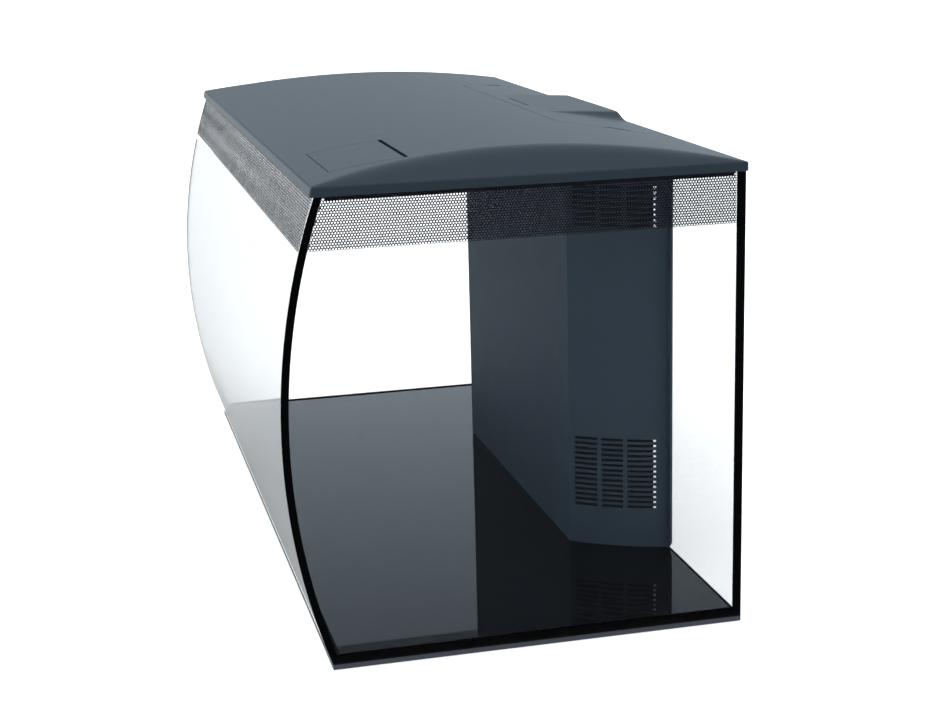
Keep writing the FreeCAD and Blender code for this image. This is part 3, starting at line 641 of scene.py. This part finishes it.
def rim_path(edge_loops, at_corner):
    """Once round the rim: each vertex with its way out, and several ways out at a corner."""
    start = next(iter(edge_loops))
    walk = [start]
    while edge_loops[walk[-1]] is not start:
        walk.append(edge_loops[walk[-1]])
    path = []
    for k, vert in enumerate(walk):
        before = walk[k - 1].co
        after = walk[(k + 1) % len(walk)].co
        outs = []
        for first, second in ((before, vert.co), (vert.co, after)):
            d = Vector((second.x - first.x, second.y - first.y, 0)).normalized()
            outs.append(Vector((d.y, -d.x, 0)))
        turns = outs[:1]
        if at_corner(vert.co):
            last = CORNER_TURNS - 1
            turns = [outs[0].slerp(outs[1], t / last) for t in range(CORNER_TURNS)]
        path += [(vert, out) for out in turns]
    return path


def rim_profile():
    """Rounded edge, band, underside and inside of the rim: (offset, height or None, drop)."""
    profile = [(CORNER - EDGE_ROUND, None, 0.0)]
    for k in range(1, EDGE_STEPS + 1):
        turn = math.pi / 2 * k / EDGE_STEPS
        offset = CORNER - EDGE_ROUND * (1 - math.sin(turn))
        profile.append((offset, None, EDGE_ROUND * (1 - math.cos(turn))))
    inside = CORNER - RIM_SKIN
    return profile + [
        (CORNER, RIM_LOW + RIM_LIP, 0), (CORNER - 0.4, RIM_LOW, 0),
        (inside + RIM_FILLET, RIM_LOW, 0), (inside, RIM_LOW + RIM_FILLET, 0),
        (inside, None, SKIN),
    ]


def sweep_rim(bm, path, low):
    """Sweeps the rim's profile round the path, and joins it to the skin's top and underside."""
    rings = []
    for offset, height, drop in rim_profile():
        ring = []
        for vert, out in path:
            x = vert.co.x + out.x * offset
            y = vert.co.y + out.y * offset
            z = shell_z(x, clamp(y, HOOD_FRONT, HOOD_BACK), drop) if height is None else height
            lean = FRONT_LEAN * clamp((z - RIM_LOW) / RIM_HEIGHT) * max(-out.y, 0)
            ring.append(bm.verts.new((x, y + lean, z)))
        rings.append(ring)
    first, last = rings[0], rings[-1]
    for k in range(len(path)):
        n = (k + 1) % len(path)
        top_a, top_b = path[k][0], path[n][0]
        if top_a is top_b:
            bm.faces.new((top_a, first[k], first[n]))
            bm.faces.new((low[top_a], last[n], last[k]))
        else:
            bm.faces.new((top_a, first[k], first[n], top_b))
            bm.faces.new((low[top_a], low[top_b], last[n], last[k]))
        for upper, lower in zip(rings, rings[1:]):
            bm.faces.new((upper[k], lower[k], lower[n], upper[n]))


def hood_shell():
    """Skin with openings for the hatch and the door, its rim, hinge ears and screw bosses."""
    x1 = HOOD_HALF - CORNER
    y0 = HOOD_FRONT + CORNER
    y1 = HOOD_BACK - CORNER
    near, far = CORD_NOTCH
    wall = CORD_NOTCH_WALL
    edges = (-END_GRID, -far - wall, -far, -near, wall - near, near - wall, near, far, far + wall, END_GRID)
    middle = [(a, b, 10) for a, b in zip(edges, edges[1:])]
    bm = flat_grid(steps((-x1, -END_GRID, 2.6), *middle, (END_GRID, x1, 2.6)), steps((y0, y1, 4.4)))
    drop_region(bm, [shifted(line, SEAM) for line in lines_of(hatch_outline())])
    drop_region(bm, rectangle(
        door_low.x - SEAM, door_high.x + SEAM, door_low.y - SEAM, door_high.y + FINGER_SLOT,
    ))

    def at_end(point):
        return abs(abs(point.x) - x1) < ON_EDGE

    def on_rim(edge):
        a, b = (v.co for v in edge.verts)
        same_y = any(abs(a.y - y) < ON_EDGE and abs(b.y - y) < ON_EDGE for y in (y0, y1))
        return at_end(a) and at_end(b) or same_y

    def at_corner(point):
        return at_end(point) and min(abs(point.y - y0), abs(point.y - y1)) < ON_EDGE

    edge_loops = {}
    for edge in bm.edges:
        if len(edge.link_faces) == 1 and on_rim(edge):
            loop = edge.link_loops[0]
            edge_loops[loop.vert] = loop.link_loop_next.vert
    low = thicken(bm, lambda x, y: shell_z(x, y, 0), lambda x, y: shell_z(x, y, SKIN), on_rim)
    sweep_rim(bm, rim_path(edge_loops, at_corner), low)
    bmesh.ops.recalc_face_normals(bm, faces=bm.faces)

    left = door_low.x - SEAM
    right = door_high.x + SEAM
    hinge_ears(bm, ((left - HOOD_EAR_END, left - EAR_GAP), (right + EAR_GAP, right + HOOD_EAR_END)))
    for x in (-SCREW_X, SCREW_X):
        for y in (lamp_low.y + SCREW_INSET, lamp_high.y - SCREW_INSET):
            height = arch_z(y) - SKIN + BOSS_IN_SKIN - lamp_high.z
            add_tube(bm, (x, y, lamp_high.z), BOSS_BORE, BOSS_RADIUS, height)
    return new_object("hood_shell_smooth", bm, "hood", FINISH["hood_plastic"])


def hatch_ledge():
    """Rebate under the front and slanted edges of the hatch."""
    bm = flat_grid(steps((*LEDGE_SPAN, 8)), steps((*LEDGE_REACH, 6)))
    lines = lines_of(hatch_outline())
    keep_region(bm, [shifted(line, LEDGE_OUTSIDE) for line in lines])
    drop_region(bm, [shifted(line, -LEDGE_INSIDE) for line in lines])
    for side in (-1, 1):
        drop_region(bm, slant_lines(side, LEDGE_GAP))
    thicken(bm, *(skin_below(depth) for depth in LEDGE_DEPTHS))
    return new_object("hatch_ledge", bm, "hood", FINISH["hood_plastic"])


def service_hatch():
    """Lid over the filter, with its finger notches, its groove and the cowl."""
    near, far = COWL_GRID
    flank = 1.4
    bm = flat_grid(
        steps(
            (-HATCH_HALF, -far, 6), (-far, -near, flank), (-near, near, 8), (near, far, flank),
            (far, HATCH_HALF, 6),
        ),
        steps((HATCH_FRONT, 116, 3), (116, 182, 2), (182, HATCH_BACK, 0.9)),
    )
    keep_region(bm, lines_of(hatch_outline()))
    for side in (-1, 1):
        drop_region(bm, slant_lines(side, FINGER_NOTCH))
    groove = rectangle(*GROOVE)
    for line in groove:
        cut_line(bm, *line)
    sunk = {f for f in bm.faces if inside_all(f.calc_center_median(), groove)}
    bmesh.ops.inset_region(bm, faces=list(sunk), thickness=GROOVE_WALL, depth=0)
    marked = {(round(v.co.x, 4), round(v.co.y, 4)) for f in sunk if f.is_valid for v in f.verts}

    def top(x, y):
        drop = GROOVE_DEPTH if (round(x, 4), round(y, 4)) in marked else 0.0
        return hatch_z(x, y) - drop

    thicken(bm, top, lambda x, y: hatch_z(x, y) - SKIN)
    bmesh.ops.recalc_face_normals(bm, faces=bm.faces)
    return new_object(
        "service_hatch_smooth", bm, "service_hatch", FINISH["hood_plastic"],
    )


def feed_door():
    """Small door at the right front, with its own hinge ears."""
    left, right = door_low.x, door_high.x
    bm = flat_grid(steps((left, DOOR_BEND, 8), (DOOR_BEND, right, 2)), steps((door_low.y, door_high.y, 4)))
    thicken(bm, hood_z, skin_below(0))
    hinge_ears(bm, ((left + EAR_GAP, left + DOOR_EAR_END), (right - DOOR_EAR_END, right - EAR_GAP)))
    return new_object("feed_door_smooth", bm, "feed_door", FINISH["hood_plastic"])


def door_rest_and_slot_shade():
    """Rubber strip under the skin behind the feed door: it carries the door and closes the finger slot,
    where its black is painted shade.
    """
    left = door_low.x - REST_OVERHANG
    right = door_high.x + REST_OVERHANG
    front = door_high.y - REST_OVERHANG
    back = door_high.y + FINGER_SLOT + REST_SHADE_PAST_SLOT
    bm = flat_grid(steps((left, DOOR_BEND, 8), (DOOR_BEND, right, 2)), steps((front, back, 2)))
    thicken(bm, *(skin_below(depth) for depth in REST_DEPTHS))
    return new_object("feed_door_rest_slot_shade", bm, "hood", FINISH["rubber"])


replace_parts(hood_shell(), "hood_shell")
hatch_ledge()
# The strip's black rubber under the finger slot is painted shade
door_rest_and_slot_shade()
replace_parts(service_hatch(), "service_hatch")
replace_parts(feed_door(), "feed_door")


# ---------------------------------------------------------------- printed honeycomb band
def front_y(inset, z):
    """Depth coordinate of the front pane, at a distance inside its outer face."""
    radius = FRONT_RADIUS - inset
    return FRONT_APEX + FRONT_RADIUS - math.sqrt(radius ** 2 - (z - FRONT_ARC_Z) ** 2)


def honeycomb_sheet(start, end):
    """Flat hexagon mesh from start(z) to end, up the band; cells at the start are cut to it."""
    row_step = PITCH * math.sqrt(3) / 2
    rows = int((GLASS_TOP - BAND_LOW - BAND_MARGIN) / row_step)
    first = start(BAND_LOW) - PITCH
    columns = int((end - first) / PITCH)
    cell_radius = PITCH / math.sqrt(3)
    hole_radius = HOLE / math.sqrt(3)
    turns = [math.radians(30 + 60 * k) for k in range(6)]
    bm = bmesh.new()
    corners = {}

    def corner(u, v):
        u = max(u, start(v))
        key = (round(u, 2), round(v, 2))
        if key not in corners:
            corners[key] = bm.verts.new((u, v, 0))
        return corners[key]

    for row in range(rows):
        v = BAND_LOW + cell_radius + row * row_step
        for column in range(columns):
            u = first + (column + 0.5 + 0.5 * (row % 2)) * PITCH
            if u > end - PITCH / 2 or u + PITCH / 2 < start(v) + FILM_BORDER:
                continue
            outer = [
                corner(u + cell_radius * math.cos(t), v + cell_radius * math.sin(t)) for t in turns
            ]
            if u + HOLE / 2 < start(v) + LEAST_CELL:
                bm.faces.new(outer)
                continue
            inner = []
            for t in turns:
                z = v + hole_radius * math.sin(t)
                hole_u = max(u + hole_radius * math.cos(t), start(z) + FILM_BORDER)
                inner.append(bm.verts.new((hole_u, z, 0)))
            for k in range(6):
                n = (k + 1) % 6
                bm.faces.new((outer[k], outer[n], inner[n], inner[k]))
    return bm


def honeycomb(name, start, end, place, stands_for=()):
    """Printed film on a pane; place(u, z, out) gives a point at a distance outside the glass."""
    bm = honeycomb_sheet(start, end)
    rims = [e.link_loops[0] for e in bm.edges if len(e.link_faces) == 1]
    rim_pairs = [(loop.vert, loop.link_loop_next.vert) for loop in rims]
    faces = list(bm.faces)
    back = {}
    for vert in list(bm.verts):
        u, v, _ = vert.co
        back[vert] = bm.verts.new(place(u, v, SET_IN + SHEET))
        vert.co = place(u, v, SET_IN)
    for face in faces:
        bm.faces.new([back[v] for v in reversed(face.verts)])
    for a, b in rim_pairs:
        bm.faces.new((b, a, back[a], back[b]))
    bmesh.ops.recalc_face_normals(bm, faces=bm.faces)
    piece = new_object(name, bm, "tank", FINISH["band_print"])
    for node_name in stands_for:
        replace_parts(piece, node_name)


film_end = HALF_LENGTH - FILM_INSET
honeycomb(
    "honeycomb_front_right", lambda z: 0.0, film_end,
    lambda u, z, out: (u, front_y(-out, z), z), ["honeycomb_front"],
)
honeycomb(
    "honeycomb_front_left", lambda z: -film_end, 0.0,
    lambda u, z, out: (u, front_y(-out, z), z),
)
for side, label in ((1, "right"), (-1, "left")):
    honeycomb(
        "honeycomb_side_" + label,
        lambda z: front_y(GLASS + SIDE_FILM_START, z) + SIDE_FILM_INSET, side_high.y - SIDE_FILM_INSET,
        lambda u, z, out, side=side: (side * (HALF_LENGTH + out), u, z), ["honeycomb_" + label],
    )


# ---------------------------------------------------------------- filter media
def soft_block(corners, z0, z1, step, rounding, lumps, lump_size, bulge):
    """A closed rounded block over four plan corners, with an uneven surface."""
    size = Vector((
        (Vector(corners[1]) - Vector(corners[0])).length,
        (Vector(corners[3]) - Vector(corners[0])).length,
        z1 - z0,
    ))
    nx, ny, nz = counts = [max(3, round(length / step)) for length in size]
    bm = bmesh.new()
    known = {}

    def vertex(*key):
        if key in known:
            return known[key]
        q = Vector([key[n] / counts[n] * size[n] for n in range(3)])
        inner = Vector([clamp(q[n], rounding, size[n] - rounding) for n in range(3)])
        away = q - inner
        normal = Vector((0, 0, 1))
        if away.length > 1e-6:
            normal = away.normalized()
            q = inner + normal * rounding
        mx, my, mz = (4 * (q[n] / size[n]) * (1 - q[n] / size[n]) for n in range(3))
        swell = bulge * min(1.0, 1.6 * mx * my + 1.6 * my * mz + 1.6 * mx * mz)
        rough = noise.fractal(q / lump_size, 0.8, 2.0, 3) * lumps
        q = q + normal * (swell - bulge + rough - lumps)
        a, b = q.x / size.x, q.y / size.y
        plan = [
            (1 - a) * (1 - b) * corners[0][n] + a * (1 - b) * corners[1][n]
            + a * b * corners[2][n] + (1 - a) * b * corners[3][n]
            for n in (0, 1)
        ]
        known[key] = bm.verts.new((plan[0], plan[1], z0 + q.z))
        return known[key]

    def sides(first, second, quads):
        """Two opposite sides, one pair of quads at a time."""
        for a in range(first):
            for b in range(second):
                for quad in quads(a, b, a + 1, b + 1):
                    bm.faces.new([vertex(*key) for key in quad])

    sides(nx, ny, lambda i, j, m, n: (
        ((i, j, 0), (i, n, 0), (m, n, 0), (m, j, 0)),
        ((i, j, nz), (m, j, nz), (m, n, nz), (i, n, nz)),
    ))
    sides(nx, nz, lambda i, k, m, n: (
        ((i, 0, k), (m, 0, k), (m, 0, n), (i, 0, n)),
        ((i, ny, k), (i, ny, n), (m, ny, n), (m, ny, k)),
    ))
    sides(ny, nz, lambda j, k, m, n: (
        ((0, j, k), (0, j, n), (0, m, n), (0, m, k)),
        ((nx, j, k), (nx, m, k), (nx, m, n), (nx, j, n)),
    ))
    bmesh.ops.recalc_face_normals(bm, faces=bm.faces)
    return bm


def foam_corners(node):
    """Plan corners of a foam block: its straight inner side and its slanted outer side."""
    verts = nodes[node].data.vertices
    low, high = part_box(node)
    found = []
    for y in (low.y, high.y):
        xs = [v.co.x for v in verts if abs(v.co.y - y) < 0.1 * MM]
        found.append((min(xs), max(xs)))
    (a0, a1), (b0, b1) = found
    back = high.y / MM + FOAM_SWELL
    return [(a0 / MM, low.y / MM), (a1 / MM, low.y / MM), (b1 / MM, back), (b0 / MM, back)]


for label in ("right", "left"):
    node_name = "foam_block_" + label
    low, high = box_mm(node_name)
    bm = soft_block(
        foam_corners(node_name), low.z, high.z,
        step=4.0, rounding=1.0, lumps=0.2, lump_size=5.0, bulge=0.3,
    )
    foam = new_object("filter_foam_" + label, bm, "tank", FINISH["foam"], 60)
    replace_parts(foam, node_name)

    node_name = "carbon_bag_" + label
    low, high = box_mm(node_name)
    corners = [(low.x, low.y), (high.x, low.y), (high.x, high.y), (low.x, high.y)]
    bm = soft_block(
        corners, low.z, high.z,
        step=2.6, rounding=9.0, lumps=0.9, lump_size=4.5, bulge=2.2,
    )
    bag = new_object("carbon_net_" + label, bm, "tank", FINISH["media_bag"], 60)
    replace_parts(bag, node_name)


# ---------------------------------------------------------------- lamp details
def led_chips():
    """Rows of light-emitting diodes under the lamp's board."""
    bm = bmesh.new()
    half_x, half_y = CHIP_HALF
    for row in range(CHIP_ROWS):
        for column in range(CHIP_COLUMNS):
            x = board_low.x + (column + 0.5) * (board_high.x - board_low.x) / CHIP_COLUMNS
            y = board_low.y + (row + 0.5) * (board_high.y - board_low.y) / CHIP_ROWS
            add_box(
                bm, x - half_x, x + half_x, y - half_y, y + half_y,
                board_low.z - CHIP_HEIGHT, board_low.z, CHIP_BEVEL,
            )
    return new_object("led_chips", bm, "hood", FINISH["led_board"])


led_chips()


# ---------------------------------------------------------------- stage, light and camera
FLOOR_REACH = 60.0
FLOOR_GLOW = 0.3
STAGE_GAP = 0.0005
SKY_COLOUR = (0.82, 0.95, 1.05)
SKY_STRENGTH = (1.16, 0.46)
SKY_LEVELS = (0.18, 0.42)
SUN_STRENGTH = 3.3
SUN_ANGLE = 80
FLAG_TONES = {"flag_black": 0.02, "flag_grey": 0.47}
CAMERA_PLACE = (1.7831, -0.3702, 0.6112)
CAMERA_ANGLES = (13.631, 14.184, -1.418)
CAMERA_LENS = 68.243


def add_card(name, corners, material):
    """A stage piece of one face."""
    mesh = bpy.data.meshes.new(name)
    mesh.from_pydata(corners, [], [(0, 1, 2, 3)])
    mesh.materials.append(material)
    card = bpy.data.objects.new(name, mesh)
    bpy.context.scene.collection.objects.link(card)
    card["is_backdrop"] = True
    return card


def stage_floor():
    """Plain pale floor, far wider than the object."""
    material, tree = tree_of("studio_floor")
    place = own_place(tree)
    shader = add(tree, "ShaderNodeBsdfPrincipled")
    shader.inputs["Specular IOR Level"].default_value = 0.0
    tone = mapped(tree, noise_of(tree, place, 2.0), 0, 1)
    pale = colour_mix(tree, tone, (0.93, 0.93, 0.935), (0.95, 0.95, 0.95))
    tree.links.new(pale, shader.inputs["Base Color"])
    shader.inputs["Roughness"].default_value = 0.9
    shader.inputs["Emission Color"].default_value = (1, 1, 1, 1)
    shader.inputs["Emission Strength"].default_value = FLOOR_GLOW
    to_surface(tree, shader.outputs["BSDF"])
    reach = FLOOR_REACH
    corners = [(-reach, -reach, 0), (reach, -reach, 0), (reach, reach, 0), (-reach, reach, 0)]
    add_card("studio_floor", corners, material).location.z = -STAGE_GAP


def studio_world():
    """Cool light, bright at the horizon and dimmer overhead."""
    world = bpy.data.worlds.new("studio")
    bpy.context.scene.world = world
    world.use_nodes = True
    tree = world.node_tree
    tree.nodes.clear()
    place = tree.nodes.new("ShaderNodeTexCoord")
    split = tree.nodes.new("ShaderNodeSeparateXYZ")
    tree.links.new(place.outputs["Generated"], split.inputs["Vector"])
    level = mapped(tree, split.outputs["Z"], *SKY_STRENGTH, *SKY_LEVELS)
    back = add(tree, "ShaderNodeBackground", Color=(*SKY_COLOUR, 1))
    tree.links.new(level, back.inputs["Strength"])
    to_surface(tree, back.outputs["Background"], "ShaderNodeOutputWorld")


def soft_sun():
    """Wide overhead light that leaves no highlight of its own."""
    light = bpy.data.lights.new("overhead", "SUN")
    light.energy = SUN_STRENGTH
    light.angle = math.radians(SUN_ANGLE)
    lamp = bpy.data.objects.new("overhead", light)
    lamp.visible_glossy = False
    bpy.context.scene.collection.objects.link(lamp)


def flag_finish(name):
    """Card finish that shows only to light that has been reflected."""
    material, tree = tree_of(name)
    tone = FLAG_TONES[name]
    card = add(tree, "ShaderNodeBsdfDiffuse", Color=(tone, tone, tone, 1))
    clear = add(tree, "ShaderNodeBsdfTransparent")
    reflected = tree.nodes.new("ShaderNodeLightPath").outputs["Glossy Depth"]
    to_surface(tree, choose(tree, reflected, clear, card))
    return material


def studio_flags():
    """Cards that keep reflections off the end pane, and soften them on the front pane."""
    black = flag_finish("flag_black")
    grey = flag_finish("flag_grey")
    lie = STAGE_GAP
    near, far, half, top = 0.418, 2.6, 2.4, 2.6
    front, ahead, left = -0.166, -4.0, -6.0
    cards = (
        ("flag_right", black, [(near, -half, lie), (near, half, lie), (far, half, lie), (far, -half, lie)]),
        ("flag_wall", black, [(far, -half, lie), (far, half, lie), (far, half, top), (far, -half, top)]),
        (
            "flag_front", grey,
            [(left, ahead, lie), (near, ahead, lie), (near, front, lie), (left, front, lie)],
        ),
    )
    for name, finish, corners in cards:
        flag = add_card(name, corners, finish)
        flag.visible_camera = False
        flag.visible_diffuse = False
        flag.visible_shadow = False


def camera():
    """Camera from its place, its yaw, pitch and roll in degrees, and its lens."""
    data = bpy.data.cameras.new("camera")
    data.lens = CAMERA_LENS
    data.sensor_width = 36.0
    data.clip_end = 200.0
    yaw, pitch, roll = (math.radians(a) for a in CAMERA_ANGLES)
    level = math.cos(pitch)
    forward = Vector((-math.cos(yaw) * level, math.sin(yaw) * level, -math.sin(pitch)))
    right = forward.cross(Vector((0, 0, 1))).normalized()
    up = right.cross(forward)
    right_rolled = right * math.cos(roll) + up * math.sin(roll)
    up_rolled = up * math.cos(roll) - right * math.sin(roll)
    rotation = Matrix((right_rolled, up_rolled, -forward)).transposed()
    eye = bpy.data.objects.new("camera", data)
    eye.matrix_world = Matrix.Translation(CAMERA_PLACE) @ rotation.to_4x4()
    bpy.context.scene.collection.objects.link(eye)
    bpy.context.scene.camera = eye


stage_floor()
studio_world()
soft_sun()
studio_flags()
camera()
scene = bpy.context.scene
scene.view_settings.view_transform = "Standard"
scene.cycles.max_bounces = 24
scene.cycles.transmission_bounces = 20
scene.cycles.transparent_max_bounces = 20
scene.cycles.glossy_bounces = 10

low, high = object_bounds()
